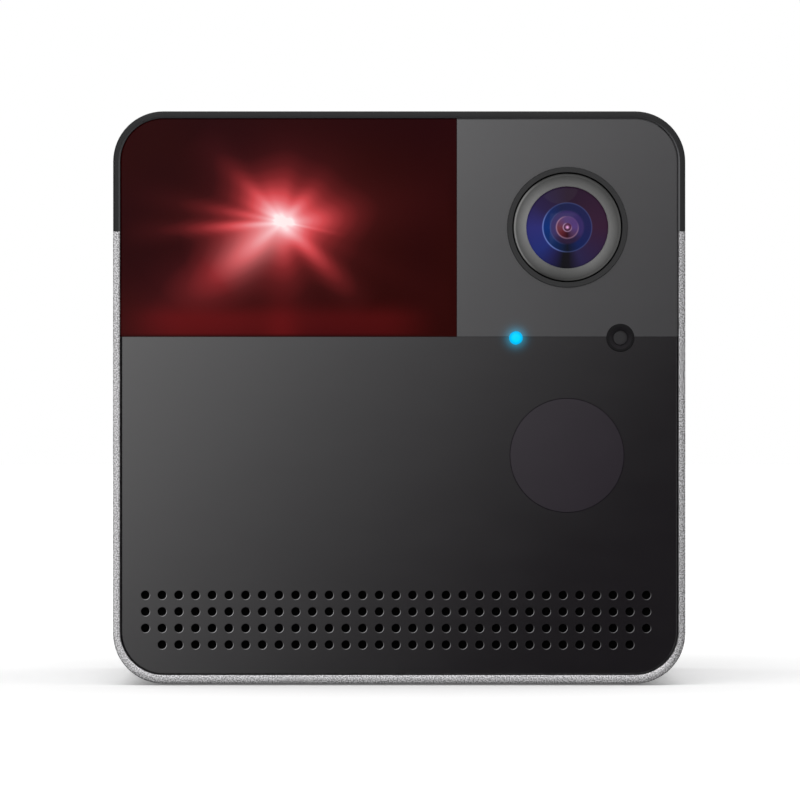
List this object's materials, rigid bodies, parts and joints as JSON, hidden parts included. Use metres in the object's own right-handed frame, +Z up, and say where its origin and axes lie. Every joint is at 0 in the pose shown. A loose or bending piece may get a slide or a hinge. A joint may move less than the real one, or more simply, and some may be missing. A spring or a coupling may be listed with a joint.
{
  "type": "pet camera",
  "caption": "Square table-top pet camera: aluminium sleeve, glossy front with lens, dark red laser window, sound holes, status light, and a steerable laser pointer inside.",
  "frame": {"origin": "centre of the underside of the rubber foot, which is also under the centre of the body", "axes": "+Z up, the front with lens and laser window faces -Y, +X to the right of someone who looks at the front"},
  "size_m": [0.074, 0.081, 0.0745],
  "materials": {
    "bead_blasted_aluminium": "bead-blasted",
    "smoked_gloss": "smoked gloss",
    "red_gloss": "dark red see-through gloss",
    "black_moulding": "fine texture",
    "grey_moulding": "satin",
    "white_moulding": "satin",
    "green_board": "solder mask",
    "dark_metal": "black anodised",
    "steel": "plated",
    "brass": "machined",
    "copper": "bare copper",
    "lens_glass": "coated",
    "lamp_glass": "moulded lens",
    "cyan_light": "lit light pipe",
    "rubber": "matt",
    "paper_cone": "coated paper"
  },
  "bodies": {
    "camera_body": {"housing_shell": "bead_blasted_aluminium", "top_visor": "smoked_gloss", "laser_window": "red_gloss", "camera_panel": "smoked_gloss", "speaker_panel": "smoked_gloss", "ir_window": "smoked_gloss", "front_frame": "black_moulding", "frame_screw_left": "steel", "frame_screw_right": "steel", "acoustic_mesh": "rubber", "lens_trim_ring": "black_moulding", "lens_barrel": "dark_metal", "lens_front_element": "lens_glass", "lens_aperture": "black_moulding", "lens_rear_element": "lens_glass", "lens_holder": "black_moulding", "filter_coil": "copper", "image_sensor": "dark_metal", "camera_board": "green_board", "camera_screw_left": "steel", "camera_screw_right": "steel", "light_pipe": "cyan_light", "status_led": "white_moulding", "sensor_hood": "black_moulding", "light_sensor": "lamp_glass", "ir_lamp_left": "lamp_glass", "ir_lamp_right": "lamp_glass", "microphone": "rubber", "sensor_board": "green_board", "speaker_frame": "grey_moulding", "speaker_magnet": "steel", "laser_bracket": "steel", "bracket_screw_left": "steel", "bracket_screw_right": "steel", "pan_motor": "steel", "base_plate": "black_moulding", "tripod_insert": "brass", "foot_pad": "rubber", "main_board": "green_board", "heat_sink": "dark_metal", "wireless_module": "steel", "antenna": "copper", "power_socket": "steel", "reset_switch": "black_moulding", "back_cover": "black_moulding", "back_screw_bottom_left": "steel", "back_screw_bottom_right": "steel", "back_screw_top_left": "steel", "back_screw_top_right": "steel"},
    "filter": {"filter_slider": "grey_moulding", "ir_cut_filter": "lens_glass"},
    "speaker_diaphragm": {"speaker_cone": "paper_cone"},
    "laser_pan": {"pan_yoke": "white_moulding", "tilt_motor": "steel"},
    "pan_drive": {"pan_pinion": "brass"},
    "laser_tilt": {"laser_cradle": "white_moulding", "laser_barrel": "brass", "laser_lens": "lens_glass"},
    "tilt_drive": {"tilt_pinion": "brass"},
    "reset_key": {"reset_button": "grey_moulding"}
  },
  "joints": [
    {"name": "laser_pan_turn", "type": "hinge", "parent": "camera_body", "child": "laser_pan", "pos_m": [-0.015, -0.025, 0.0602], "axis": [0, 0, 1], "range_deg": [-30, 30]},
    {"name": "pan_pinion_turn", "type": "hinge", "parent": "camera_body", "child": "pan_drive", "pos_m": [-0.015, -0.01412, 0.0453], "axis": [0, 0, 1], "range_deg": [-108, 108]},
    {"name": "laser_tilt_turn", "type": "hinge", "parent": "laser_pan", "child": "laser_tilt", "pos_m": [-0.015, -0.025, 0.0602], "axis": [1, 0, 0], "range_deg": [-20, 20]},
    {"name": "tilt_pinion_turn", "type": "hinge", "parent": "laser_pan", "child": "tilt_drive", "pos_m": [-0.00705, -0.025, 0.04932], "axis": [1, 0, 0], "range_deg": [-72, 72]},
    {"name": "filter_slide", "type": "slide", "parent": "camera_body", "child": "filter", "axis": [1, 0, 0], "range_m": [0, 0.0072]},
    {"name": "cone_travel", "type": "slide", "parent": "camera_body", "child": "speaker_diaphragm", "axis": [0, -1, 0], "range_m": [-0.0005, 0.0005], "stiffness_N_per_m": 400},
    {"name": "reset_press", "type": "slide", "parent": "camera_body", "child": "reset_key", "axis": [0, -1, 0], "range_m": [0, 0.0004], "stiffness_N_per_m": 800, "springref_m": -0.0002}
  ],
  "couplings": [
    {"joint": "pan_pinion_turn", "follows": "laser_pan_turn", "ratio": -3.5},
    {"joint": "tilt_pinion_turn", "follows": "laser_tilt_turn", "ratio": -3.5}
  ]
}
